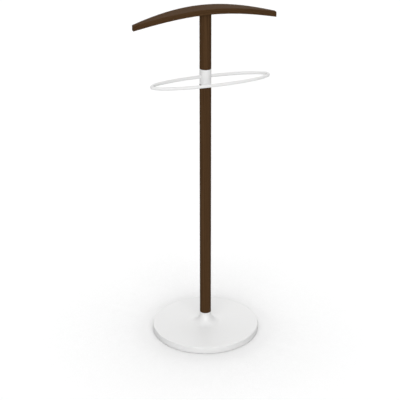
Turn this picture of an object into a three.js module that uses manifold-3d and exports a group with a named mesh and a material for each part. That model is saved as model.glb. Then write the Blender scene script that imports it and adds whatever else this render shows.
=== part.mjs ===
// Valet stand: a weighted round base, a wooden post in two sections with a metal collar between them,
// an oval trouser ring held in the collar, and an arched wooden hanger board on top.
// Millimetres, +Z up. The origin is on the floor, under the middle of the post.
// The hanger and the ring lie along X, and the ring reaches forward, towards -Y.

import * as THREE from "three";
import { mergeVertices } from "three/addons/utils/BufferGeometryUtils.js";
import Module from "manifold-3d";

const wasm = await Module();
wasm.setup();

// ---------------------------------------------------------------- driving dimensions

const GAP = 0.3; // clearance between pieces that touch
const PAST = 1; // how far a cutting tool runs past the face it cuts through

const POST_RADIUS = 18.25;
const STAND_HEIGHT = 1104; // floor to the crown of the hanger board

const BASE = {
  radius: 175,
  rimBottom: 1,
  rimTop: 23,
  rimEdgeRadius: 3,
  coneAngle: THREE.MathUtils.degToRad(0.95),
  neckFillet: 32,
  neckTop: 62.5,
  skin: 2,
};
const BALLAST = {
  radius: 165,
  bottom: 3,
  thickness: 6,
  hubRadius: 30,
  hubTop: 16,
  recessRadius: 13,
  recessTop: 9.5,
  edge: 1,
};
const GLIDE = { count: 6, radius: 14, chamfer: 0.3, ringRadius: 146 };
const SPIGOT = { columnRadius: 15, tipRadius: 8, tipTop: 92, tipChamfer: 1, boreRadius: 4.5 };
const SCREW_RADIUS = 4; // M8 bolt and studs
const INSERT = { radius: 6, length: 22, setBack: 3, tipRoom: 4 };
const BASE_BOLT = {
  headRadius: 7,
  headHeight: 4.4,
  crownRadius: 5,
  shoulderHeight: 3,
  tip: 117,
  tipChamfer: 1,
  hexAcrossFlats: 5,
  hexDepth: 2.6,
};
const BASE_WASHER = { radius: 12, thickness: 2 };

const POST_END_CHAMFER = 0.5;
const COLLAR = {
  bottom: 860.8,
  top: 909.8,
  rodHeight: 885.8,
  screwDepth: 14,
  rodBoreRadius: 5.6,
  rimChamfer: 0.6,
};
const RING = {
  rodRadius: 5,
  halfLength: 188,
  halfDepth: 44.9,
  backStrandY: -3.3, // the rod passes through the collar just in front of the post's axis
  endSpace: 1,
};
const STUD = { length: 32, chamfer: 0.8 };
const SET_SCREW = { radius: 2.5, sideways: 10, length: 12, chamfer: 0.4, hexAcrossFlats: 2.5, hexDepth: 2 };

const HANGER = {
  halfLength: 230,
  thickness: 16.8,
  middleHalfDepth: 29.6,
  tipHalfDepth: 7,
  tipDrop: 34.8,
  flattening: 0.14, // how much straighter than a parabola the arch runs towards its tips
};
const DOWEL = { radius: 4, length: 29, sideways: 9, intoBoard: 10, chamfer: 0.6 };

// How finely curves are cut into flats
const BASE_SEGMENTS = 60;
const POST_SEGMENTS = 40;
const ROD_SEGMENTS = 24;
const PIN_SEGMENTS = 16;
const SKIN_ARC_STEPS = 4;
const RING_STEPS = 88;
const RING_SIDES = 12;
const ARCH_STEPS = 48;

// Heights that follow from them
const hangerUnderside = STAND_HEIGHT - HANGER.thickness;
const lowerPostBottom = BASE.neckTop + GAP;
const lowerPostTop = COLLAR.bottom - GAP;
const upperPostBottom = COLLAR.top + GAP;
const upperPostTop = hangerUnderside - archDrop(POST_RADIUS) - GAP;

// ---------------------------------------------------------------- materials

function finish(color, roughness, metalness) {
  return () => new THREE.MeshStandardMaterial({ color, roughness, metalness });
}
const whitePowderCoat = finish(0xe6e6e4, 0.5, 0.0);
const darkWood = finish(0x493523, 0.6, 0.0);
const beech = finish(0xc9a271, 0.7, 0.0);
const castIron = finish(0x3b3c3e, 0.7, 0.8);
const zincSteel = finish(0xb4b6b8, 0.35, 1.0);
const brass = finish(0xb5924c, 0.35, 1.0);
const felt = finish(0x55534f, 1.0, 0.0);

// ---------------------------------------------------------------- shape helpers

/** Turns a closed profile of [radius, height] points about Z. */
function turned(profile, segments = ROD_SEGMENTS) {
  const points = profile.map(([radius, height]) => new THREE.Vector2(radius, height));
  const geometry = new THREE.LatheGeometry(points, segments);
  return geometry.rotateX(Math.PI / 2);
}

/** A rod along Z between two heights, with square ends. */
function rod(radius, bottom, top, segments = ROD_SEGMENTS) {
  return turned([[0, bottom], [radius, bottom], [radius, top], [0, top]], segments);
}

/** A rod along Z between two heights, with a chamfer on both ends. */
function chamferedRod(radius, bottom, top, chamfer, segments = ROD_SEGMENTS) {
  return turned(
    [
      [0, bottom],
      [radius - chamfer, bottom],
      [radius, bottom + chamfer],
      [radius, top - chamfer],
      [radius - chamfer, top],
      [0, top],
    ],
    segments
  );
}

/** A tube along Z between two heights. */
function tube(outer, inner, bottom, top) {
  return turned([[inner, bottom], [outer, bottom], [outer, top], [inner, top], [inner, bottom]]);
}

/** A regular polygon about the origin. */
function polygonShape(cornerRadius, sides) {
  const shape = new THREE.Shape();
  for (let i = 0; i < sides; i += 1) {
    const angle = (i * 2 * Math.PI) / sides;
    const point = [cornerRadius * Math.cos(angle), cornerRadius * Math.sin(angle)];
    if (i === 0) {
      shape.moveTo(...point);
    } else {
      shape.lineTo(...point);
    }
  }
  shape.closePath();
  return shape;
}

/** A hexagonal prism along Z, for the socket of a screw. */
function hexagon(acrossFlats, bottom, top) {
  const shape = polygonShape(acrossFlats / Math.sqrt(3), 6);
  const prism = new THREE.ExtrudeGeometry(shape, { depth: top - bottom, bevelEnabled: false });
  return prism.translate(0, 0, bottom);
}

function toSolid(geometry) {
  const bare = geometry.clone();
  bare.deleteAttribute("normal");
  bare.deleteAttribute("uv");
  const merged = mergeVertices(bare, 1e-4);
  return new wasm.Manifold(
    new wasm.Mesh({
      numProp: 3,
      vertProperties: new Float32Array(merged.attributes.position.array),
      triVerts: new Uint32Array(merged.index.array),
    })
  );
}

function toGeometry(solid) {
  const mesh = solid.getMesh();
  const geometry = new THREE.BufferGeometry();
  geometry.setAttribute("position", new THREE.BufferAttribute(new Float32Array(mesh.vertProperties), 3));
  geometry.setIndex(new THREE.BufferAttribute(new Uint32Array(mesh.triVerts), 1));
  geometry.computeVertexNormals();
  return geometry;
}

/** Cuts every tool out of a piece. */
function cut(geometry, ...tools) {
  return toGeometry(tools.reduce((solid, tool) => solid.subtract(toSolid(tool)), toSolid(geometry)));
}

const valetStand = new THREE.Group();

function add(name, geometry, material) {
  const mesh = new THREE.Mesh(geometry, material());
  mesh.name = name;
  valetStand.add(mesh);
  return mesh;
}

// ---------------------------------------------------------------- base

/** One side of the base shell's skin, from the foot of the rim up to the neck, inset from the outside. */
function baseSkin(inset) {
  const { radius, rimTop, rimBottom, rimEdgeRadius, coneAngle, neckFillet } = BASE;
  const rimCentre = new THREE.Vector2(radius - rimEdgeRadius, rimTop - rimEdgeRadius);
  const coneNormal = new THREE.Vector2(Math.sin(coneAngle), Math.cos(coneAngle));
  const coneStart = rimCentre.clone().addScaledVector(coneNormal, rimEdgeRadius);
  const filletX = POST_RADIUS + neckFillet;
  const coneEndX = filletX - neckFillet * coneNormal.x;
  const coneEndZ = coneStart.y + (coneStart.x - coneEndX) * Math.tan(coneAngle);
  const filletZ = coneEndZ + neckFillet * coneNormal.y;

  const path = new THREE.Path();
  path.moveTo(radius - inset, rimBottom);
  path.lineTo(radius - inset, rimCentre.y);
  path.absarc(rimCentre.x, rimCentre.y, rimEdgeRadius - inset, 0, Math.PI / 2 - coneAngle, false);
  path.absarc(filletX, filletZ, neckFillet + inset, (3 * Math.PI) / 2 - coneAngle, Math.PI, true);
  return path.getPoints(SKIN_ARC_STEPS).map((point) => [point.x, point.y]);
}

function baseCover() {
  const seatHole = SPIGOT.tipRadius + GAP;
  const outside = baseSkin(0);
  const inside = baseSkin(BASE.skin).reverse();
  const profile = [
    ...outside,
    [POST_RADIUS, BASE.neckTop],
    [seatHole, BASE.neckTop],
    [seatHole, BASE.neckTop - BASE.skin],
    [POST_RADIUS - BASE.skin, BASE.neckTop - BASE.skin],
    ...inside,
    outside[0],
  ];
  return turned(profile, BASE_SEGMENTS);
}

function ballastDisc() {
  const { radius, bottom, thickness, hubRadius, hubTop, recessRadius, recessTop, edge } = BALLAST;
  const bore = SPIGOT.boreRadius;
  return turned(
    [
      [bore, recessTop],
      [recessRadius, recessTop],
      [recessRadius, bottom],
      [radius - edge, bottom],
      [radius, bottom + edge],
      [radius, bottom + thickness - edge],
      [radius - edge, bottom + thickness],
      [hubRadius + thickness, bottom + thickness],
      [hubRadius, hubTop - edge],
      [hubRadius - edge, hubTop],
      [bore, hubTop],
      [bore, recessTop],
    ],
    BASE_SEGMENTS
  );
}

function postSpigot() {
  const bottom = BALLAST.hubTop + GAP;
  const shoulder = BASE.neckTop - BASE.skin - GAP;
  const { columnRadius, tipRadius, tipTop, tipChamfer, boreRadius } = SPIGOT;
  return turned([
    [boreRadius, bottom],
    [columnRadius, bottom],
    [columnRadius, shoulder],
    [tipRadius, shoulder],
    [tipRadius, tipTop - tipChamfer],
    [tipRadius - tipChamfer, tipTop],
    [boreRadius, tipTop],
    [boreRadius, bottom],
  ]);
}

const washerTop = BALLAST.recessTop - GAP;
const headTop = washerTop - BASE_WASHER.thickness - GAP;

/** A button-head bolt, with its head down. */
function baseBolt() {
  const { headRadius, headHeight, crownRadius, shoulderHeight, tip, tipChamfer } = BASE_BOLT;
  const headBottom = headTop - headHeight;
  const body = turned([
    [0, headBottom],
    [crownRadius, headBottom],
    [headRadius, headBottom + shoulderHeight],
    [headRadius, headTop],
    [SCREW_RADIUS, headTop],
    [SCREW_RADIUS, tip - tipChamfer],
    [SCREW_RADIUS - tipChamfer, tip],
    [0, tip],
  ]);
  return cut(body, hexagon(BASE_BOLT.hexAcrossFlats, headBottom - PAST, headBottom + BASE_BOLT.hexDepth));
}

add("base_cover", baseCover(), whitePowderCoat);
add("ballast_disc", ballastDisc(), castIron);
for (let i = 0; i < GLIDE.count; i += 1) {
  const angle = ((i + 0.5) * 2 * Math.PI) / GLIDE.count;
  const pad = chamferedRod(GLIDE.radius, 0, BALLAST.bottom - GAP, GLIDE.chamfer);
  const glide = add(`base_glide_${i + 1}`, pad, felt);
  glide.position.set(GLIDE.ringRadius * Math.cos(angle), GLIDE.ringRadius * Math.sin(angle), 0);
}
add("post_spigot", postSpigot(), zincSteel);
add(
  "base_washer",
  tube(BASE_WASHER.radius, SCREW_RADIUS + GAP, washerTop - BASE_WASHER.thickness, washerTop),
  zincSteel
);
add("base_bolt", baseBolt(), zincSteel);

// ---------------------------------------------------------------- post

/** A brass insert with a threaded hole, glued into the end of a post section. */
function insert(bottom) {
  return tube(INSERT.radius, SCREW_RADIUS + GAP, bottom, bottom + INSERT.length);
}

/** The round hole that an insert sits in, with room for the screw's tip beyond it. */
function insertBore(openEnd, closedEnd) {
  return rod(INSERT.radius + GAP, Math.min(openEnd, closedEnd), Math.max(openEnd, closedEnd));
}

const spigotTipRoom = 1.3;
const baseInsertBottom = SPIGOT.tipTop + spigotTipRoom;
const lowerTopInsertBottom = lowerPostTop - INSERT.setBack - INSERT.length;
const upperInsertBottom = upperPostBottom + INSERT.setBack;

function postBody(bottom, top) {
  return chamferedRod(POST_RADIUS, bottom, top, POST_END_CHAMFER, POST_SEGMENTS);
}

function lowerPost() {
  const socket = rod(SPIGOT.tipRadius + GAP, lowerPostBottom - PAST, baseInsertBottom - GAP);
  const baseBoreTop = baseInsertBottom + INSERT.length + INSERT.tipRoom;
  const baseBore = insertBore(baseInsertBottom - PAST, baseBoreTop);
  const topBore = insertBore(lowerPostTop + PAST, lowerTopInsertBottom - INSERT.tipRoom);
  return cut(postBody(lowerPostBottom, lowerPostTop), socket, baseBore, topBore);
}

function upperPost() {
  const bore = insertBore(upperPostBottom - PAST, upperInsertBottom + INSERT.length + INSERT.tipRoom);
  const dowelBores = [-1, 1].map((side) => dowelBore(side, dowelBottom - GAP, upperPostTop + PAST));
  return cut(postBody(upperPostBottom, upperPostTop), bore, ...dowelBores);
}

// ---------------------------------------------------------------- collar and trouser ring

/** The ring's centre line, from one rod end inside the collar, round the front, to the other. */
class RingPath extends THREE.Curve {
  getPoint(t, target = new THREE.Vector3()) {
    const { halfLength, halfDepth, backStrandY, endSpace } = RING;
    const endAngle = endSpace / 2 / halfLength;
    const angle = Math.PI / 2 - endAngle - t * 2 * (Math.PI - endAngle);
    const x = halfLength * Math.cos(angle);
    const y = backStrandY - halfDepth + halfDepth * Math.sin(angle);
    return target.set(x, y, COLLAR.rodHeight);
  }

  // Even steps of the oval's angle, so that its tight ends get the closest spacing.
  getUtoTmapping(u) {
    return u;
  }
}

function trouserRing() {
  const options = { steps: RING_STEPS, bevelEnabled: false, extrudePath: new RingPath() };
  return new THREE.ExtrudeGeometry(polygonShape(RING.rodRadius, RING_SIDES), options);
}

/** A grub screw's hole, or the screw itself, lying along Y behind the ring's rod. */
function alongY(geometry, side, innerEnd) {
  geometry.rotateX(-Math.PI / 2);
  return geometry.translate(side * SET_SCREW.sideways, innerEnd, COLLAR.rodHeight);
}

function collar() {
  const studBore = SCREW_RADIUS + GAP;
  const rodBore = rod(COLLAR.rodBoreRadius, -POST_RADIUS - PAST, POST_RADIUS + PAST).rotateY(Math.PI / 2);
  const setScrewBores = [-1, 1].map((side) => {
    const bore = rod(SET_SCREW.radius + GAP, RING.backStrandY, POST_RADIUS + PAST, PIN_SEGMENTS);
    return alongY(bore, side, 0);
  });
  return cut(
    chamferedRod(POST_RADIUS, COLLAR.bottom, COLLAR.top, COLLAR.rimChamfer, POST_SEGMENTS),
    rod(studBore, COLLAR.bottom - PAST, COLLAR.bottom + COLLAR.screwDepth),
    rod(studBore, COLLAR.top - COLLAR.screwDepth, COLLAR.top + PAST),
    rodBore.translate(0, RING.backStrandY, COLLAR.rodHeight),
    ...setScrewBores
  );
}

function setScrew(side) {
  const { radius, length, chamfer, hexAcrossFlats, hexDepth } = SET_SCREW;
  const body = chamferedRod(radius, 0, length, chamfer, PIN_SEGMENTS);
  const socket = hexagon(hexAcrossFlats, length - hexDepth, length + PAST);
  return alongY(cut(body, socket), side, RING.backStrandY + RING.rodRadius + GAP);
}

function stud(bottom) {
  return chamferedRod(SCREW_RADIUS, bottom, bottom + STUD.length, STUD.chamfer);
}

add("lower_post", lowerPost(), darkWood);
add("lower_post_base_insert", insert(baseInsertBottom), brass);
add("lower_post_top_insert", insert(lowerTopInsertBottom), brass);
add("collar", collar(), whitePowderCoat);
add("lower_collar_stud", stud(COLLAR.bottom + COLLAR.screwDepth - GAP - STUD.length), zincSteel);
add("upper_collar_stud", stud(COLLAR.top - COLLAR.screwDepth + GAP), zincSteel);
add("trouser_ring", trouserRing(), whitePowderCoat);
add("ring_set_screw_left", setScrew(-1), zincSteel);
add("ring_set_screw_right", setScrew(1), zincSteel);

// ---------------------------------------------------------------- hanger

/** How far the arch has dropped below its crown at a distance x from the post. */
function archDrop(x) {
  const s = x / HANGER.halfLength;
  return HANGER.tipDrop * ((1 + HANGER.flattening) * s ** 2 - HANGER.flattening * s ** 4);
}

/** Half the board's depth, from front to back, at a distance x from the post. */
function halfDepthAt(x) {
  const { halfLength, middleHalfDepth, tipHalfDepth } = HANGER;
  return tipHalfDepth + (middleHalfDepth - tipHalfDepth) * (1 - (x / halfLength) ** 2);
}

/** A closed outline between two functions of x, from tip to tip of the board. */
function outlineBetween(upper, lower) {
  const shares = Array.from({ length: ARCH_STEPS + 1 }, (_, i) => (2 * i) / ARCH_STEPS - 1);
  const xs = shares.map((share) => HANGER.halfLength * share);
  const points = [
    ...xs.map((x) => new THREE.Vector2(x, lower(x))),
    ...xs.reverse().map((x) => new THREE.Vector2(x, upper(x))),
  ];
  return new THREE.Shape(points);
}

const dowelTop = hangerUnderside + DOWEL.intoBoard;
const dowelBottom = dowelTop - DOWEL.length;

function dowelBore(side, bottom, top) {
  return rod(DOWEL.radius + GAP, bottom, top, PIN_SEGMENTS).translate(side * DOWEL.sideways, 0, 0);
}

/** The board is the arch seen from the front, cut to the lens shape seen from above. */
function hangerBoard() {
  const arch = outlineBetween((x) => STAND_HEIGHT - archDrop(x), (x) => hangerUnderside - archDrop(x));
  const archDepth = 2 * (HANGER.middleHalfDepth + PAST);
  const archSolid = new THREE.ExtrudeGeometry(arch, { depth: archDepth, bevelEnabled: false });
  archSolid.rotateX(Math.PI / 2).translate(0, archDepth / 2, 0);

  const lens = outlineBetween(halfDepthAt, (x) => -halfDepthAt(x));
  const lensHeight = HANGER.tipDrop + HANGER.thickness + 2 * PAST;
  const lensSolid = new THREE.ExtrudeGeometry(lens, { depth: lensHeight, bevelEnabled: false });
  lensSolid.translate(0, 0, STAND_HEIGHT + PAST - lensHeight);

  const dowelBores = [-1, 1].map((side) => dowelBore(side, hangerUnderside - PAST, dowelTop + GAP));
  const board = toSolid(archSolid).intersect(toSolid(lensSolid));
  return cut(toGeometry(board), ...dowelBores);
}

add("upper_post", upperPost(), darkWood);
add("upper_post_insert", insert(upperInsertBottom), brass);
add("hanger_board", hangerBoard(), darkWood);
[["hanger_dowel_left", -1], ["hanger_dowel_right", 1]].forEach(([name, side]) => {
  const pin = chamferedRod(DOWEL.radius, dowelBottom, dowelTop, DOWEL.chamfer, PIN_SEGMENTS);
  const dowel = add(name, pin, beech);
  dowel.position.x = side * DOWEL.sideways;
});

export default valetStand;
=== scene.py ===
"""The looks of the valet stand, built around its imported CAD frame. Metres, +Z up."""

import math

import bmesh
import bpy
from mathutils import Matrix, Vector, noise


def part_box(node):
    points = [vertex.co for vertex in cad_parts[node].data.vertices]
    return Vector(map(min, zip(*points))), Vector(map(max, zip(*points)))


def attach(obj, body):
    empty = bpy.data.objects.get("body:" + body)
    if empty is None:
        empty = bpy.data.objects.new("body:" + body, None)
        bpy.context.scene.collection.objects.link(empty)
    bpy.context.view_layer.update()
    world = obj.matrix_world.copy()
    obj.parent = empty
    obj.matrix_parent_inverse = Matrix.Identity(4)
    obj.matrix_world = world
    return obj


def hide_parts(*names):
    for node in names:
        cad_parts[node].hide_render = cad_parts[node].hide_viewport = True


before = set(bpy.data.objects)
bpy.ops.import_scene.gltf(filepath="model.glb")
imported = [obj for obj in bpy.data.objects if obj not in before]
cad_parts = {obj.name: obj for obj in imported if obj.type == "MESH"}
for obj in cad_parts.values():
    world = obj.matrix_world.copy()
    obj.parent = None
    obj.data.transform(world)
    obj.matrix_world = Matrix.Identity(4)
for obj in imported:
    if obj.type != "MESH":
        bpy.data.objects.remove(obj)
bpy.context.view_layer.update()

MM = 0.001

# ------------------------------------------------------------------ sizes taken from the frame

base_low, base_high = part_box("base_cover")
collar_low, collar_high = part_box("collar")
board_low, board_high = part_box("hanger_board")
ring_low, ring_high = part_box("trouser_ring")

BASE_RADIUS = base_high.x
POST_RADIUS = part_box("lower_post")[1].x
ROD_RADIUS = (ring_high.z - ring_low.z) / 2
RING_MIDDLE = Vector((0, (ring_low.y + ring_high.y) / 2, (ring_low.z + ring_high.z) / 2))
RING_HALF_LENGTH = ring_high.x - ROD_RADIUS
RING_HALF_DEPTH = ring_high.y - ROD_RADIUS - RING_MIDDLE.y
BACK_STRAND_Y = RING_MIDDLE.y + RING_HALF_DEPTH
SCREW_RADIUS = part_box("lower_collar_stud")[1].x

# Shapes inside a node that its box doesn't tell, as the CAD source has them
CLEARANCE = 0.3 * MM
SKIN = 2 * MM
RIM_TOP = 23 * MM
RIM_EDGE_RADIUS = 3 * MM
CONE_ANGLE = math.radians(0.95)
NECK_FILLET = 32 * MM
SPIGOT_TIP_RADIUS = 8 * MM
BOLT_BORE_RADIUS = 4.5 * MM
BOARD_THICKNESS = 16.8 * MM
BOARD_TIP_HALF_DEPTH = 7 * MM
ARCH_FLATTENING = 0.14

# The M8 thread of the bolt, the studs and the inserts
COARSE_PITCH = 1.25 * MM
THREAD_DEPTH = 0.7 * MM
THREAD_ROWS = 6

DOWELS = ("hanger_dowel_left", "hanger_dowel_right")
SET_SCREWS = ("ring_set_screw_left", "ring_set_screw_right")


# ------------------------------------------------------------------ mesh helpers

def arc(centre_r, centre_z, radius, start, end, steps):
    """Points of a profile along an arc, both ends included, angles in radians."""
    angles = [start + (end - start) * i / steps for i in range(steps + 1)]
    return [(centre_r + radius * math.cos(a), centre_z + radius * math.sin(a)) for a in angles]


def eased(points, closed=True, steps=4):
    """A profile whose corners (r, z, radius) are rounded to that radius; (r, z) stays as it is."""
    result = []
    count = len(points)
    for i, point in enumerate(points):
        here = Vector(point[:2])
        if len(point) == 2 or (not closed and i in (0, count - 1)):
            result.append(tuple(here))
            continue
        to_last = (Vector(points[i - 1][:2]) - here).normalized()
        to_next = (Vector(points[(i + 1) % count][:2]) - here).normalized()
        half_angle = to_last.angle(to_next) / 2
        reach = point[2] / math.tan(half_angle)
        centre = here + (to_last + to_next).normalized() * point[2] / math.sin(half_angle)
        first = (here + to_last * reach - centre).normalized()
        last = (here + to_next * reach - centre).normalized()
        for k in range(steps + 1):
            result.append(tuple(centre + first.slerp(last, k / steps) * point[2]))
    return result


def new_piece(name, mesh):
    piece = bpy.data.objects.new(name, mesh)
    bpy.context.scene.collection.objects.link(piece)
    return piece


def from_bmesh(name, bm):
    bmesh.ops.recalc_face_normals(bm, faces=bm.faces)
    mesh = bpy.data.meshes.new(name)
    bm.to_mesh(mesh)
    bm.free()
    return new_piece(name, mesh)


ON_THE_AXIS = 1e-7


def turned(name, profile, segments=96, closed=True, radius_at=None):
    """A profile of (r, z) turned about Z. An open profile starts and ends on the axis.

    radius_at(r, z, angle) may change a point's radius, for threads, knurls and flutes.
    """
    bm = bmesh.new()
    rings = []
    for r, z in profile:
        if r < ON_THE_AXIS:
            rings.append([bm.verts.new((0, 0, z))] * segments)
            continue
        ring = []
        for k in range(segments):
            angle = 2 * math.pi * k / segments
            reach = radius_at(r, z, angle) if radius_at else r
            ring.append(bm.verts.new((reach * math.cos(angle), reach * math.sin(angle), z)))
        rings.append(ring)
    pairs = list(zip(rings, rings[1:] + rings[:1])) if closed else list(zip(rings, rings[1:]))
    for ring, other in pairs:
        for k in range(segments):
            corners = (ring[k], ring[(k + 1) % segments], other[(k + 1) % segments], other[k])
            distinct = list(dict.fromkeys(corners))
            if len(distinct) > 2:
                bm.faces.new(distinct)
    return from_bmesh(name, bm)


def prism(sides, corner_radius, bottom, top):
    """A cutter: an upright prism round Z with that many sides."""
    profile = [(0, bottom), (corner_radius, bottom), (corner_radius, top), (0, top)]
    return turned("cutter", profile, segments=sides, closed=False)


def moved(piece, change):
    """Changes each vertex of a piece by a function of its place."""
    for vertex in piece.data.vertices:
        vertex.co = change(vertex.co)
    return piece


def carved(piece, *cutters):
    """Cuts the cutters out of a piece and removes them."""
    for cutter in cutters:
        modifier = piece.modifiers.new("cut", "BOOLEAN")
        modifier.operation = "DIFFERENCE"
        modifier.solver = "EXACT"
        modifier.object = cutter
    graph = bpy.context.evaluated_depsgraph_get()
    mesh = bpy.data.meshes.new_from_object(piece.evaluated_get(graph))
    piece.modifiers.clear()
    piece.data = mesh
    for cutter in cutters:
        bpy.data.objects.remove(cutter)
    return piece


def finished(piece, material, slot, *nodes, sharp_angle=32):
    """Smooths a piece's faces up to the sharp angle, paints it and ties it to the frame."""
    piece.data.shade_smooth()
    piece.data.set_sharp_from_angle(angle=math.radians(sharp_angle))
    piece.data.materials.clear()
    piece.data.materials.append(material)
    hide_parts(*nodes)
    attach(piece, "root")
    return piece


def thread_wave(z, angle, pitch):
    """0 at the root of a right-hand thread and 1 at its crest."""
    turn = (z / pitch - angle / (2 * math.pi)) % 1.0
    return 1 - abs(2 * turn - 1)


def rows(bottom, top, step):
    """Heights from bottom to top, about a step apart, both ends left out."""
    count = max(2, round((top - bottom) / step))
    return [bottom + (top - bottom) * i / count for i in range(1, count)]


def store_grain(piece, to_grain):
    """Keeps where each point lies in the plank the piece was cut from, grain along Z."""
    layer = piece.data.attributes.new("grain_space", "FLOAT_VECTOR", "POINT")
    for vertex, item in zip(piece.data.vertices, layer.data):
        item.vector = to_grain(vertex.co)


# ------------------------------------------------------------------ materials

class Nodes:
    """Short calls for building a material's node tree."""

    def __init__(self, name):
        self.material = bpy.data.materials.new(name)
        self.material.use_nodes = True
        self.tree = self.material.node_tree
        self.shader = self.tree.nodes["Principled BSDF"]

    def add(self, kind, **settings):
        node = self.tree.nodes.new(kind)
        for key, value in settings.items():
            setattr(node, key, value)
        return node

    def link(self, source, target):
        self.tree.links.new(source, target)

    def put(self, socket, value):
        """Links a socket to a target, or sets it if it is a plain value."""
        if isinstance(value, bpy.types.NodeSocket):
            self.link(value, socket)
        else:
            socket.default_value = value

    def place(self):
        return self.add("ShaderNodeTexCoord").outputs["Object"]

    def attribute(self, name):
        return self.add("ShaderNodeAttribute", attribute_name=name).outputs["Vector"]

    def scaled(self, vector, scale):
        node = self.add("ShaderNodeMapping")
        self.link(vector, node.inputs["Vector"])
        node.inputs["Scale"].default_value = scale
        return node.outputs["Vector"]

    def noise(self, vector, scale, detail=4.0, roughness=0.55, distortion=0.0):
        node = self.add("ShaderNodeTexNoise")
        self.link(vector, node.inputs["Vector"])
        node.inputs["Scale"].default_value = scale
        node.inputs["Detail"].default_value = detail
        node.inputs["Roughness"].default_value = roughness
        node.inputs["Distortion"].default_value = distortion
        return node.outputs["Fac"]

    def cells(self, vector, scale):
        node = self.add("ShaderNodeTexVoronoi")
        self.link(vector, node.inputs["Vector"])
        node.inputs["Scale"].default_value = scale
        return node.outputs["Distance"]

    def math(self, operation, *values):
        node = self.add("ShaderNodeMath", operation=operation)
        for socket, value in zip(node.inputs, values):
            self.put(socket, value)
        return node.outputs["Value"]

    def ranged(self, value, low, high, to_low=0.0, to_high=1.0):
        node = self.add("ShaderNodeMapRange")
        inputs = (value, low, high, to_low, to_high)
        for key, item in zip(("Value", "From Min", "From Max", "To Min", "To Max"), inputs):
            self.put(node.inputs[key], item)
        return node.outputs["Result"]

    def ramp(self, value, *stops):
        node = self.add("ShaderNodeValToRGB")
        self.link(value, node.inputs["Fac"])
        elements = node.color_ramp.elements
        while len(elements) < len(stops):
            elements.new(0.5)
        for element, (position, color) in zip(elements, stops):
            element.position = position
            element.color = (*color, 1.0)
        return node.outputs["Color"]

    def mix(self, amount, first, second, blend="MIX"):
        node = self.add("ShaderNodeMix", data_type="RGBA", blend_type=blend)
        self.put(node.inputs["Factor"], amount)
        for socket, value in ((node.inputs["A"], first), (node.inputs["B"], second)):
            self.put(socket, value if isinstance(value, bpy.types.NodeSocket) else (*value, 1.0))
        return node.outputs["Result"]

    def bump(self, height, distance, strength=1.0, under=None):
        node = self.add("ShaderNodeBump")
        node.inputs["Strength"].default_value = strength
        node.inputs["Distance"].default_value = distance
        self.link(height, node.inputs["Height"])
        if under is not None:
            self.link(under, node.inputs["Normal"])
        return node.outputs["Normal"]

    def finish(self, color, roughness, normal, **constants):
        self.put(self.shader.inputs["Base Color"], color)
        self.put(self.shader.inputs["Roughness"], roughness)
        self.link(normal, self.shader.inputs["Normal"])
        for key, value in constants.items():
            self.shader.inputs[key.replace("_", " ")].default_value = value
        return self.material


def white_powder_coat():
    """Satin polyester powder: orange peel about a millimetre across, over a finer grit."""
    n = Nodes("white_powder_coat")
    place = n.place()
    peel = n.noise(place, 750, detail=2.0)
    grit = n.noise(place, 3200, detail=1.0)
    cloud = n.noise(place, 9, detail=3.0)
    color = n.ramp(cloud, (0.3, (0.728, 0.728, 0.724)), (0.7, (0.736, 0.736, 0.734)))
    roughness = n.ranged(n.noise(place, 60), 0.3, 0.7, 0.49, 0.52)
    normal = n.bump(peel, 0.00004, 0.4)
    return n.finish(color, roughness, n.bump(grit, 0.000008, 0.5, under=normal))


PITH_X = 55 * MM
PITH_Y = 35 * MM
GROWTH_RING = 3.4 * MM
RING_WAVER = 9 * MM


def wood(name, dark, middle, light, pore, pore_amount, specular):
    """Growth rings round a pith beside the piece, long fibres along the grain and short open pores."""
    n = Nodes(name)
    grain = n.attribute("grain_space")
    slow = n.noise(n.scaled(grain, (22, 22, 2.2)), 1.0, detail=3.0)
    split = n.add("ShaderNodeSeparateXYZ")
    n.link(grain, split.inputs[0])
    from_pith = n.math(
        "SQRT",
        n.math(
            "ADD",
            n.math("POWER", n.math("ADD", split.outputs["X"], PITH_X), 2.0),
            n.math("POWER", n.math("ADD", split.outputs["Y"], PITH_Y), 2.0),
        ),
    )
    wavy = n.math("ADD", from_pith, n.math("MULTIPLY", slow, RING_WAVER))
    ring_wave = n.math("SINE", n.math("MULTIPLY", wavy, 2 * math.pi / GROWTH_RING))
    rings = n.ranged(ring_wave, -1.0, 1.0)
    fibre = n.noise(n.scaled(grain, (900, 900, 14)), 1.0, detail=3.0, roughness=0.6)
    streak = n.noise(n.scaled(grain, (150, 150, 3)), 1.0, detail=4.0)
    tone = n.math(
        "ADD",
        n.math("MULTIPLY", rings, 0.3),
        n.math("ADD", n.math("MULTIPLY", streak, 0.45), n.math("MULTIPLY", fibre, 0.25)),
    )
    color = n.ramp(tone, (0.22, dark), (0.5, middle), (0.78, light))
    mottle = n.noise(n.scaled(grain, (30, 30, 9)), 1.0, detail=2.0)
    color = n.mix(n.ranged(mottle, 0.35, 0.7, 0.0, 0.35), color, middle)
    pores = n.cells(n.scaled(grain, (1500, 1500, 130)), 1.0)
    pore_mask = n.ranged(pores, 0.16, 0.3, pore_amount, 0.0)
    color = n.mix(pore_mask, color, pore)
    roughness = n.ranged(fibre, 0.3, 0.7, 0.52, 0.66)
    normal = n.bump(fibre, 0.00004, 0.5)
    normal = n.bump(n.math("SUBTRACT", 1.0, pore_mask), 0.00007, 0.5, under=normal)
    return n.finish(color, roughness, normal, Specular_IOR_Level=specular)


def dark_wood():
    """Dark brown stain under a thin, nearly matt lacquer."""
    return wood(
        "dark_wood",
        dark=(0.0445, 0.0222, 0.0088),
        middle=(0.0620, 0.0320, 0.0136),
        light=(0.0800, 0.0427, 0.0188),
        pore=(0.021, 0.0105, 0.0045),
        pore_amount=0.6,
        specular=0.015,
    )


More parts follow.
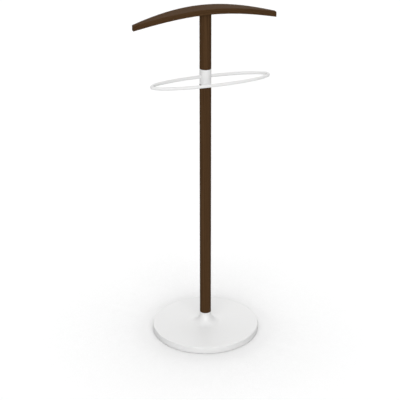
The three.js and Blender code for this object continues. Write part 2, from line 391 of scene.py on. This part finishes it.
def beech():
    """Plain pale wood, bare."""
    return wood(
        "beech",
        dark=(0.5, 0.3, 0.16),
        middle=(0.58, 0.38, 0.21),
        light=(0.64, 0.44, 0.26),
        pore=(0.36, 0.2, 0.1),
        pore_amount=0.5,
        specular=0.3,
    )


def metal(name, color, low_roughness, high_roughness):
    """Turned and plated metal: fine rings round Z, with faint clouding of the plating."""
    n = Nodes(name)
    place = n.place()
    rings = n.noise(n.scaled(place, (60, 60, 9000)), 1.0, detail=2.0)
    cloud = n.noise(place, 180, detail=4.0)
    shade = tuple(c * 0.82 for c in color)
    tint = n.mix(n.ranged(cloud, 0.35, 0.7), color, shade)
    roughness = n.ranged(cloud, 0.3, 0.7, low_roughness, high_roughness)
    return n.finish(tint, roughness, n.bump(rings, 0.00001, 0.4), Metallic=1.0)


def cast_iron():
    """Sand-cast iron under a matt grey primer."""
    n = Nodes("cast_iron")
    place = n.place()
    sand = n.noise(place, 900, detail=5.0, roughness=0.65)
    lumps = n.noise(place, 70, detail=3.0)
    color = n.ramp(lumps, (0.3, (0.035, 0.037, 0.039)), (0.7, (0.062, 0.064, 0.067)))
    roughness = n.ranged(sand, 0.3, 0.7, 0.62, 0.85)
    normal = n.bump(lumps, 0.0004, 0.4)
    return n.finish(color, roughness, n.bump(sand, 0.00015, 0.8, under=normal), Metallic=0.15)


def felt():
    """Pressed wool: tangled fibres, with lighter hairs among the grey."""
    n = Nodes("felt")
    place = n.place()
    tangle = n.noise(place, 1400, detail=6.0, roughness=0.75, distortion=1.5)
    hairs = n.noise(n.scaled(place, (500, 2600, 900)), 1.0, detail=3.0, distortion=2.0)
    color = n.ramp(tangle, (0.3, (0.055, 0.053, 0.05)), (0.7, (0.13, 0.125, 0.118)))
    color = n.mix(n.ranged(hairs, 0.6, 0.72, 0.0, 0.5), color, (0.26, 0.25, 0.24))
    normal = n.bump(tangle, 0.0003, 0.9)
    return n.finish(color, n.ranged(tangle, 0.3, 0.7, 0.88, 1.0), normal, Specular_IOR_Level=0.2)


COAT = white_powder_coat()
DARK_WOOD = dark_wood()
BEECH = beech()
ZINC = metal("zinc_steel", (0.6, 0.61, 0.62), 0.28, 0.4)
BRASS = metal("brass", (0.62, 0.42, 0.16), 0.24, 0.36)
IRON = cast_iron()
FELT = felt()


# ------------------------------------------------------------------ base

def base_skin(inset, steps):
    """One side of the base shell, from the rim's foot up to the neck, inset from the outside."""
    rim_r, rim_z = BASE_RADIUS - RIM_EDGE_RADIUS, RIM_TOP - RIM_EDGE_RADIUS
    sine, cosine = math.sin(CONE_ANGLE), math.cos(CONE_ANGLE)
    cone_r, cone_z = rim_r + RIM_EDGE_RADIUS * sine, rim_z + RIM_EDGE_RADIUS * cosine
    fillet_r = POST_RADIUS + NECK_FILLET
    end_r = fillet_r - NECK_FILLET * sine
    fillet_z = cone_z + (cone_r - end_r) * math.tan(CONE_ANGLE) + NECK_FILLET * cosine
    edge = arc(rim_r, rim_z, RIM_EDGE_RADIUS - inset, 0, math.pi / 2 - CONE_ANGLE, steps // 3)
    neck_start, neck_end = 1.5 * math.pi - CONE_ANGLE, math.pi
    neck = arc(fillet_r, fillet_z, NECK_FILLET + inset, neck_start, neck_end, steps)
    (from_r, from_z), (to_r, to_z) = edge[-1], neck[0]
    cone_steps = 10
    cone = [
        (from_r + (to_r - from_r) * i / cone_steps, from_z + (to_z - from_z) * i / cone_steps)
        for i in range(1, cone_steps)
    ]
    return edge + cone + neck


def make_base_shell():
    """The spun shell: one skin of even thickness, with a seat for the post on top of its neck."""
    hole = SPIGOT_TIP_RADIUS + CLEARANCE
    foot, top = base_low.z, base_high.z
    lip = 0.4 * MM
    profile = (
        [(BASE_RADIUS - SKIN, foot, lip), (BASE_RADIUS, foot, lip)]
        + base_skin(0, 24)
        + [(POST_RADIUS, top, lip), (hole, top, lip), (hole, top - SKIN)]
        + [(POST_RADIUS - SKIN, top - SKIN)]
        + base_skin(SKIN, 12)[::-1]
    )
    shell = turned("base_shell", eased(profile), segments=256)
    return finished(shell, COAT, "white_powder_coat", "base_cover")


def make_ballast():
    """A cast plate with a hub, bored for the bolt and recessed from below for its head."""
    low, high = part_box("ballast_disc")
    plate_top = low.z + 6 * MM
    hub_radius, hub_foot_radius, hub_foot_ease = 30 * MM, 36 * MM, 3 * MM
    recess_radius, recess_top, recess_ease = 13 * MM, 9.5 * MM, 0.6 * MM
    soft = 1.2 * MM
    profile = [
        (BOLT_BORE_RADIUS, recess_top),
        (recess_radius, recess_top, recess_ease),
        (recess_radius, low.z, soft),
        (high.x, low.z, soft),
        (high.x, plate_top, soft),
        (hub_foot_radius, plate_top, hub_foot_ease),
        (hub_radius, high.z, soft),
        (BOLT_BORE_RADIUS, high.z),
    ]
    disc = turned("ballast_disc_casting", eased(profile), segments=192)
    return finished(disc, IRON, "cast_iron", "ballast_disc")


def make_glide(node):
    """A felt disc with a soft, slightly uneven edge."""
    low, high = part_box(node)
    radius, middle = (high.x - low.x) / 2, (low + high) / 2
    worn_edge, glued_edge = 0.7 * MM, 0.5 * MM
    fuzz, fuzz_scale = 0.012, 900
    under = [(radius * share, low.z) for share in (0.25, 0.5, 0.75, 0.9)]
    over = [(r, high.z) for r, _ in reversed(under)]
    rim = [(radius, low.z, worn_edge), (radius, high.z, glued_edge)]
    profile = [(0, low.z)] + under + rim + over + [(0, high.z)]
    pad = turned(f"{node}_felt", eased(profile, closed=False), segments=72, closed=False)

    def fuzzed(point):
        place = Vector((point.x + middle.x, point.y + middle.y, point.z))
        near_edge = min(1.0, (math.hypot(point.x, point.y) / radius) ** 4)
        pull = 1 - fuzz * near_edge * (0.5 + noise.noise(place * fuzz_scale))
        return Vector((place.x - point.x * (1 - pull), place.y - point.y * (1 - pull), point.z))

    return finished(moved(pad, fuzzed), FELT, "felt", node, sharp_angle=60)


def make_spigot():
    """A turned column under the neck's seat, with a thinner tip that enters the post."""
    low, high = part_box("post_spigot")
    shoulder = base_high.z - SKIN - CLEARANCE
    soft, tip_ease = 0.5 * MM, 1 * MM
    profile = [
        (BOLT_BORE_RADIUS, low.z, soft),
        (high.x, low.z, soft),
        (high.x, shoulder, soft),
        (SPIGOT_TIP_RADIUS, shoulder, soft),
        (SPIGOT_TIP_RADIUS, high.z, tip_ease),
        (BOLT_BORE_RADIUS, high.z, soft),
    ]
    spigot = turned("post_spigot_turned", eased(profile), segments=96)
    return finished(spigot, ZINC, "zinc_steel", "post_spigot")


def make_washer():
    low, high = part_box("base_washer")
    soft, bore = 0.35 * MM, SCREW_RADIUS + CLEARANCE
    corners = [(bore, low.z), (high.x, low.z), (high.x, high.z), (bore, high.z)]
    profile = [(r, z, soft) for r, z in corners]
    washer = turned("base_washer_stamped", eased(profile), segments=96)
    return finished(washer, ZINC, "zinc_steel", "base_washer")


def threaded(pitch, bottom, top, depth):
    """A radius_at function that cuts an outside thread between two heights, fading at its ends."""
    def radius_at(r, z, angle):
        if not bottom < z < top:
            return r
        fade = min(1.0, (z - bottom) / pitch, (top - z) / pitch)
        return r - depth * fade * (1 - thread_wave(z, angle, pitch))
    return radius_at


def make_base_bolt():
    """A button-head screw, head down, with a hexagon socket and a thread where the insert holds it."""
    low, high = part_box("base_bolt")
    r, head_radius, crown_radius = SCREW_RADIUS, high.x, 5 * MM
    shoulder, head_top = low.z + 3 * MM, low.z + 4.4 * MM
    dome, head_ease, tip = 3 * MM, 0.4 * MM, 1 * MM
    thread_from, thread_to = high.z - 32 * MM, high.z - tip
    socket_radius, socket_depth, past = 2.9 * MM, 2.6 * MM, 1 * MM
    profile = [(0, low.z), (crown_radius, low.z, dome), (head_radius, shoulder, dome)]
    profile += [(head_radius, head_top, head_ease), (r, head_top), (r, thread_from)]
    profile += [(r, z) for z in rows(thread_from, thread_to, COARSE_PITCH / THREAD_ROWS)]
    profile += [(r, thread_to), (r - tip, high.z), (0, high.z)]
    profile = eased(profile, closed=False)
    thread = threaded(COARSE_PITCH, thread_from, thread_to, THREAD_DEPTH)
    bolt = turned("base_bolt_screw", profile, segments=48, closed=False, radius_at=thread)
    socket = prism(6, socket_radius, low.z - past, low.z + socket_depth)
    return finished(carved(bolt, socket), ZINC, "zinc_steel", "base_bolt")


make_base_shell()
make_ballast()
for number in range(1, 7):
    make_glide(f"base_glide_{number}")
make_spigot()
make_washer()
make_base_bolt()


# ------------------------------------------------------------------ what the post and the hanger share

BOARD_HALF_LENGTH = board_high.x
BOARD_HALF_DEPTH = board_high.y
BOARD_TOP = board_high.z
TIP_DROP = board_high.z - board_low.z - BOARD_THICKNESS


def arch_drop(x):
    """How far the arch has dropped below its crown at x."""
    s = x / BOARD_HALF_LENGTH
    return TIP_DROP * ((1 + ARCH_FLATTENING) * s ** 2 - ARCH_FLATTENING * s ** 4)


def board_half_depth(x):
    share = 1 - (x / BOARD_HALF_LENGTH) ** 2
    return BOARD_TIP_HALF_DEPTH + (BOARD_HALF_DEPTH - BOARD_TIP_HALF_DEPTH) * share


def dowel_cutter(node, bottom, top):
    """Cuts the bore of one dowel between two heights."""
    low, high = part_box(node)
    cutter = prism(32, (high.x - low.x) / 2 + CLEARANCE, bottom, top)
    middle = (low.x + high.x) / 2
    return moved(cutter, lambda p: Vector((p.x + middle, p.y, p.z)))


# ------------------------------------------------------------------ post

INSERT_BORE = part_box("upper_post_insert")[1].x + CLEARANCE
TIP_ROOM = 4 * MM
END_EASE = 0.5 * MM
END_MARGIN = 1 * MM


def make_lower_post():
    """Bored from below for the spigot's tip and an insert, and from above for another insert."""
    low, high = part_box("lower_post")
    socket = SPIGOT_TIP_RADIUS + CLEARANCE
    base_insert_low, base_insert_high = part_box("lower_post_base_insert")
    socket_top, lower_bore_top = base_insert_low.z - CLEARANCE, base_insert_high.z + TIP_ROOM
    upper_bore_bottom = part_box("lower_post_top_insert")[0].z - TIP_ROOM
    shaft = [(POST_RADIUS, z) for z in rows(low.z + END_MARGIN, high.z - END_MARGIN, 40 * MM)]
    profile = (
        [(0, lower_bore_top), (INSERT_BORE, lower_bore_top)]
        + [(INSERT_BORE, socket_top), (socket, socket_top)]
        + [(socket, low.z, END_EASE), (POST_RADIUS, low.z, END_EASE)]
        + shaft
        + [(POST_RADIUS, high.z, END_EASE), (INSERT_BORE, high.z, END_EASE)]
        + [(INSERT_BORE, upper_bore_bottom), (0, upper_bore_bottom)]
    )
    post = turned("lower_post_wood", eased(profile, closed=False), segments=128, closed=False)
    store_grain(post, lambda p: Vector((p.x, p.y, p.z)))
    return finished(post, DARK_WOOD, "dark_wood", "lower_post")


def make_upper_post():
    """Bored from below for an insert. Its top end is coped to the underside of the arched board."""
    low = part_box("upper_post")[0]
    bore_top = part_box("upper_post_insert")[1].z + TIP_ROOM
    joint, top_ease, coped_height = 0.05 * MM, 0.2 * MM, 2 * MM
    top = BOARD_TOP - BOARD_THICKNESS - joint
    shaft_top = top - 3 * MM
    shaft = [(POST_RADIUS, z) for z in rows(low.z + END_MARGIN, shaft_top, 30 * MM)]
    profile = (
        [(0, bore_top), (INSERT_BORE, bore_top)]
        + [(INSERT_BORE, low.z, END_EASE), (POST_RADIUS, low.z, END_EASE)]
        + shaft
        + [(POST_RADIUS, top, top_ease), (POST_RADIUS * 0.6, top), (0, top)]
    )
    post = turned("upper_post_wood", eased(profile, closed=False), segments=128, closed=False)

    def coped(point):
        share = max(0.0, 1 - (top - point.z) / coped_height)
        return Vector((point.x, point.y, point.z - share * arch_drop(point.x)))

    moved(post, coped)
    dowel_bottom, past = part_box("hanger_dowel_left")[0].z, 5 * MM
    carved(post, *[dowel_cutter(node, dowel_bottom - CLEARANCE, top + past) for node in DOWELS])
    other_plank = Vector((21, -13, 370)) * MM
    store_grain(post, lambda p: Vector((p.y, p.x, p.z)) + other_plank)
    return finished(post, DARK_WOOD, "dark_wood", "upper_post")


def make_insert(node):
    """A brass insert: a threaded hole, and a knurled outside with two grooves for the glue."""
    low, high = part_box(node)
    outer, bore, length = high.x, SCREW_RADIUS + CLEARANCE, high.z - low.z
    groove_depth, groove_half_width, row = 0.8 * MM, 0.9 * MM, 0.8 * MM
    knurl_count, knurl_depth, inside_thread_depth = 24, 0.25 * MM, 0.5 * MM
    grooves = [low.z + length * share for share in (0.33, 0.67)]
    outside = []
    for z in [low.z] + rows(low.z, high.z, row) + [high.z]:
        in_groove = min(abs(z - groove) for groove in grooves) < groove_half_width
        outside.append((outer - groove_depth if in_groove else outer, z))
    inside = [(bore, z) for z in [high.z] + rows(low.z, high.z, COARSE_PITCH / 5)[::-1] + [low.z]]

    def radius_at(r, z, angle):
        if r <= bore:
            fade = min(1.0, (z - low.z) / COARSE_PITCH, (high.z - z) / COARSE_PITCH)
            return r + inside_thread_depth * fade * thread_wave(z, angle, COARSE_PITCH)
        if r < outer:
            return r
        return r - knurl_depth * (0.5 + 0.5 * math.cos(knurl_count * angle))

    insert = turned(f"{node}_knurled", outside + inside, segments=96, radius_at=radius_at)
    return finished(insert, BRASS, "brass", node)


def pin_profile(radius, bottom, top, tip, row):
    """The profile of a pin with chamfered ends, with rows enough for what is cut into its side."""
    side = [(radius, z) for z in rows(bottom + tip, top - tip, row)]
    return (
        [(0, bottom), (radius - tip, bottom), (radius, bottom + tip)]
        + side
        + [(radius, top - tip), (radius - tip, top), (0, top)]
    )


def make_stud(node):
    low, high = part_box(node)
    tip = 0.8 * MM
    profile = pin_profile(SCREW_RADIUS, low.z, high.z, tip, COARSE_PITCH / THREAD_ROWS)
    thread = threaded(COARSE_PITCH, low.z + tip, high.z - tip, THREAD_DEPTH)
    stud = turned(f"{node}_threaded", profile, segments=48, closed=False, radius_at=thread)
    return finished(stud, ZINC, "zinc_steel", node)


make_lower_post()
make_upper_post()
for node in ("lower_post_base_insert", "lower_post_top_insert", "upper_post_insert"):
    make_insert(node)
for node in ("lower_collar_stud", "upper_collar_stud"):
    make_stud(node)


# ------------------------------------------------------------------ collar and trouser ring

def make_collar():
    """Bored at both ends for the studs, across for the ring's rod, and behind for the grub screws."""
    depth, rim_ease, bore_ease, past = 14 * MM, 0.6 * MM, 0.4 * MM, 5 * MM
    side_margin, side_row = 2 * MM, 4 * MM
    bore = SCREW_RADIUS + CLEARANCE
    low, high = collar_low.z, collar_high.z
    side = [(POST_RADIUS, z) for z in rows(low + side_margin, high - side_margin, side_row)]
    profile = (
        [(0, low + depth), (bore, low + depth), (bore, low, bore_ease), (POST_RADIUS, low, rim_ease)]
        + side
        + [(POST_RADIUS, high, rim_ease), (bore, high, bore_ease)]
        + [(bore, high - depth), (0, high - depth)]
    )
    body = turned("collar_turned", eased(profile, closed=False), segments=160, closed=False)
    rod_bore = prism(64, ROD_RADIUS + CLEARANCE, -POST_RADIUS - past, POST_RADIUS + past)
    moved(rod_bore, lambda p: Vector((p.z, p.y + BACK_STRAND_Y, p.x + RING_MIDDLE.z)))
    screw_bores = []
    for node in SET_SCREWS:
        screw_low, screw_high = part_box(node)
        x = (screw_low.x + screw_high.x) / 2
        radius = (screw_high.x - screw_low.x) / 2 + CLEARANCE
        cutter = prism(32, radius, BACK_STRAND_Y, POST_RADIUS + past)
        screw_bores.append(moved(cutter, lambda p, x=x: Vector((p.x + x, p.z, RING_MIDDLE.z - p.y))))
    carved(body, rod_bore, *screw_bores)
    return finished(body, COAT, "white_powder_coat", "collar")


def make_ring():
    """One round rod bent to a level oval, its two ends meeting inside the collar."""
    stations, sides, end_gap = 420, 32, 1 * MM
    end_angle = end_gap / 2 / RING_HALF_LENGTH
    bm = bmesh.new()
    loops = []
    for i in range(stations + 1):
        angle = math.pi / 2 - end_angle - 2 * (math.pi - end_angle) * i / stations
        x, y = RING_HALF_LENGTH * math.cos(angle), RING_HALF_DEPTH * math.sin(angle)
        centre = RING_MIDDLE + Vector((x, y, 0))
        outward = Vector((x / RING_HALF_LENGTH ** 2, y / RING_HALF_DEPTH ** 2, 0)).normalized()
        spokes = [
            outward * math.cos(2 * math.pi * k / sides) + Vector((0, 0, math.sin(2 * math.pi * k / sides)))
            for k in range(sides)
        ]
        loops.append([bm.verts.new(centre + ROD_RADIUS * spoke) for spoke in spokes])
    for loop, other in zip(loops, loops[1:]):
        for k in range(sides):
            bm.faces.new((loop[k], loop[(k + 1) % sides], other[(k + 1) % sides], other[k]))
    bm.faces.new(loops[0])
    bm.faces.new(loops[-1])
    ring = from_bmesh("trouser_ring_rod", bm)
    return finished(ring, COAT, "white_powder_coat", "trouser_ring")


def make_set_screw(node):
    """An M5 grub screw with a hexagon socket, laid along Y with its socket to the back."""
    low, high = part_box(node)
    radius, length, x = (high.x - low.x) / 2, high.y - low.y, (low.x + high.x) / 2
    pitch, depth, tip = 0.8 * MM, 0.4 * MM, 0.4 * MM
    socket_radius, socket_depth, past = 1.45 * MM, 2 * MM, 1 * MM
    profile = pin_profile(radius, 0, length, tip, pitch / THREAD_ROWS)
    thread = threaded(pitch, tip, length - tip, depth)
    screw = turned(f"{node}_threaded", profile, segments=40, closed=False, radius_at=thread)
    carved(screw, prism(6, socket_radius, length - socket_depth, length + past))
    moved(screw, lambda p: Vector((p.x + x, p.z + low.y, RING_MIDDLE.z - p.y)))
    return finished(screw, ZINC, "zinc_steel", node)


make_collar()
make_ring()
for node in SET_SCREWS:
    make_set_screw(node)


# ------------------------------------------------------------------ hanger

def section(half_depth, half_height, corner, crown, corner_steps=6, face_steps=8):
    """The board's section at one x as (y, z) about its middle, rounded at its four corners."""
    points = []
    for side_y, side_z, start in ((1, 1, 0), (-1, 1, 1), (-1, -1, 2), (1, -1, 3)):
        middle_y, middle_z = side_y * (half_depth - corner), side_z * (half_height - corner)
        for k in range(corner_steps + 1):
            angle = (start + k / corner_steps) * math.pi / 2
            points.append((middle_y + corner * math.cos(angle), middle_z + corner * math.sin(angle)))
        reach = 2 * (half_depth - corner)
        if start in (0, 2):
            direction = -1 if start == 0 else 1
            height = side_z * half_height
            for k in range(1, face_steps):
                points.append((middle_y + direction * reach * k / face_steps, height))
    return [
        (y, z - crown * (y / half_depth) ** 2 if z > 0 else z)
        for y, z in points
    ]


def make_hanger_board():
    """An arched board, lens-shaped from above, with softly rounded edges and tips."""
    corner, crown, least_corner = 1.3 * MM, 0.2 * MM, 0.15 * MM
    stations, tip_steps = 120, 6
    reach = BOARD_HALF_LENGTH - corner
    middle = [reach * (2 * i / stations - 1) for i in range(stations + 1)]
    rounding = [math.pi / 2 * k / tip_steps for k in range(1, tip_steps + 1)]
    right = [(reach + corner * math.sin(a), corner * (1 - math.cos(a))) for a in rounding]
    left = [(-x, inset) for x, inset in reversed(right)]
    bm = bmesh.new()
    loops = []
    for x, inset in left + [(x, 0.0) for x in middle] + right:
        half_depth = board_half_depth(x) - inset
        half_height = BOARD_THICKNESS / 2 - inset
        rounded = max(corner - inset, least_corner)
        middle_z = BOARD_TOP - BOARD_THICKNESS / 2 - arch_drop(x)
        outline = section(half_depth, half_height, rounded, crown * (1 - inset / corner))
        loops.append([bm.verts.new((x, y, middle_z + z)) for y, z in outline])
    count = len(loops[0])
    for loop, other in zip(loops, loops[1:]):
        for k in range(count):
            bm.faces.new((loop[k], loop[(k + 1) % count], other[(k + 1) % count], other[k]))
    bm.faces.new(loops[0])
    bm.faces.new(loops[-1])
    board = from_bmesh("hanger_board_wood", bm)
    past = 3 * MM
    bore_bottom, bore_top = BOARD_TOP - BOARD_THICKNESS - past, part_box("hanger_dowel_left")[1].z + CLEARANCE
    carved(board, *[dowel_cutter(node, bore_bottom, bore_top) for node in DOWELS])
    plank_shift = 12 * MM
    store_grain(board, lambda p: Vector((p.y + plank_shift, p.z + arch_drop(p.x) - BOARD_TOP, p.x)))
    return finished(board, DARK_WOOD, "dark_wood", "hanger_board")


def make_dowel(node):
    """A fluted beech dowel."""
    low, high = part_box(node)
    radius, x = (high.x - low.x) / 2, (low.x + high.x) / 2
    tip, row = 0.8 * MM, 1.5 * MM
    flute_margin, flute_count, flute_depth = 2 * MM, 18, 0.35 * MM
    profile = pin_profile(radius, low.z, high.z, tip, row)

    def fluted(r, z, angle):
        if not low.z + flute_margin < z < high.z - flute_margin:
            return r
        return r - flute_depth * max(0.0, math.cos(flute_count * angle))

    dowel = turned(f"{node}_fluted", profile, segments=144, closed=False, radius_at=fluted)
    moved(dowel, lambda p: Vector((p.x + x, p.y, p.z)))
    store_grain(dowel, lambda p: Vector((p.x, p.y, p.z)))
    return finished(dowel, BEECH, "beech", node)


make_hanger_board()
for node in DOWELS:
    make_dowel(node)


# ------------------------------------------------------------------ studio

def make_floor():
    """A white, matt floor with painted shade close to the stand, where an occlusion node finds it. It throws
    back less light than it shows.
    """
    half = 30.0
    mesh = bpy.data.meshes.new("studio_floor")
    corners = [(-half, -half, 0), (half, -half, 0), (half, half, 0), (-half, half, 0)]
    mesh.from_pydata(corners, [], [(0, 1, 2, 3)])
    open_white, painted_shade_white, thrown_back = (0.98,) * 3, (0.85,) * 3, (0.7,) * 3
    n = Nodes("studio_floor")
    # Painted shade: the floor's colour goes from open white to grey where the occlusion node finds the stand
    # within 0.6 m.
    occlusion = n.add("ShaderNodeAmbientOcclusion", samples=24)
    occlusion.inputs["Distance"].default_value = 0.6
    openness = n.ranged(occlusion.outputs["AO"], 0.965, 1.0)
    color = n.mix(openness, painted_shade_white, open_white)
    rays = n.add("ShaderNodeLightPath")
    color = n.mix(rays.outputs["Is Diffuse Ray"], color, thrown_back)
    color = n.mix(rays.outputs["Is Glossy Ray"], color, thrown_back)
    fine = n.noise(n.place(), 40, detail=3.0)
    roughness, normal = n.ranged(fine, 0.3, 0.7, 0.85, 0.9), n.bump(fine, 0.0001, 0.1)
    paint = n.finish(color, roughness, normal, Specular_IOR_Level=0.0)
    floor = new_piece("studio_floor", mesh)
    mesh.materials.append(paint)


def sun(name, azimuth, elevation, strength, softness):
    """A soft light from a compass direction: azimuth 0 comes from the front, 90 from the right."""
    light = bpy.data.lights.new(name, "SUN")
    light.energy = strength
    light.angle = math.radians(softness)
    lamp = bpy.data.objects.new(name, light)
    a, e = math.radians(azimuth), math.radians(elevation)
    towards_light = Vector((math.sin(a) * math.cos(e), -math.cos(a) * math.cos(e), math.sin(e)))
    lamp.rotation_euler = towards_light.to_track_quat("Z", "Y").to_euler()
    bpy.context.scene.collection.objects.link(lamp)


ROOM_LIGHT = 0.02
ROOM_SHEEN = 0.72
BACKDROP = 1.0


def make_world():
    """A dim room that satin surfaces still reflect, and a white backdrop for the camera."""
    world = bpy.data.worlds.new("studio")
    bpy.context.scene.world = world
    world.use_nodes = True
    tree = world.node_tree
    tree.nodes.clear()
    rays = tree.nodes.new("ShaderNodeLightPath")

    def white(strength):
        layer = tree.nodes.new("ShaderNodeBackground")
        layer.inputs["Color"].default_value = (1, 1, 1, 1)
        layer.inputs["Strength"].default_value = strength
        return layer.outputs[0]

    seen = white(ROOM_LIGHT)
    for ray, strength in (("Is Glossy Ray", ROOM_SHEEN), ("Is Camera Ray", BACKDROP)):
        mix = tree.nodes.new("ShaderNodeMixShader")
        tree.links.new(rays.outputs[ray], mix.inputs[0])
        tree.links.new(seen, mix.inputs[1])
        tree.links.new(white(strength), mix.inputs[2])
        seen = mix.outputs[0]
    output = tree.nodes.new("ShaderNodeOutputWorld")
    tree.links.new(seen, output.inputs[0])


def make_camera():
    """To the left of the front and above the stand, looking down on it, as in the photo."""
    distance, height = 3.9238, 2.2269
    round_the_stand, pitch = 0.343, 0.422
    camera = bpy.data.cameras.new("camera")
    camera.sensor_width = 36.0
    camera.lens = 120.63
    camera.shift_x = -0.0135
    camera.shift_y = 0.001
    body = bpy.data.objects.new("camera", camera)
    body.location = (
        -distance * math.sin(round_the_stand),
        -distance * math.cos(round_the_stand),
        height,
    )
    body.rotation_euler = (math.pi / 2 - pitch, 0, -round_the_stand)
    bpy.context.scene.collection.objects.link(body)
    bpy.context.scene.camera = body


make_floor()
make_world()
sun("front", azimuth=-20, elevation=15, strength=3.05, softness=70)
sun("back_and_overhead", azimuth=160, elevation=60, strength=2.68, softness=108)
make_camera()
bpy.context.scene.view_settings.view_transform = "Standard"
bpy.context.scene.view_settings.look = "None"
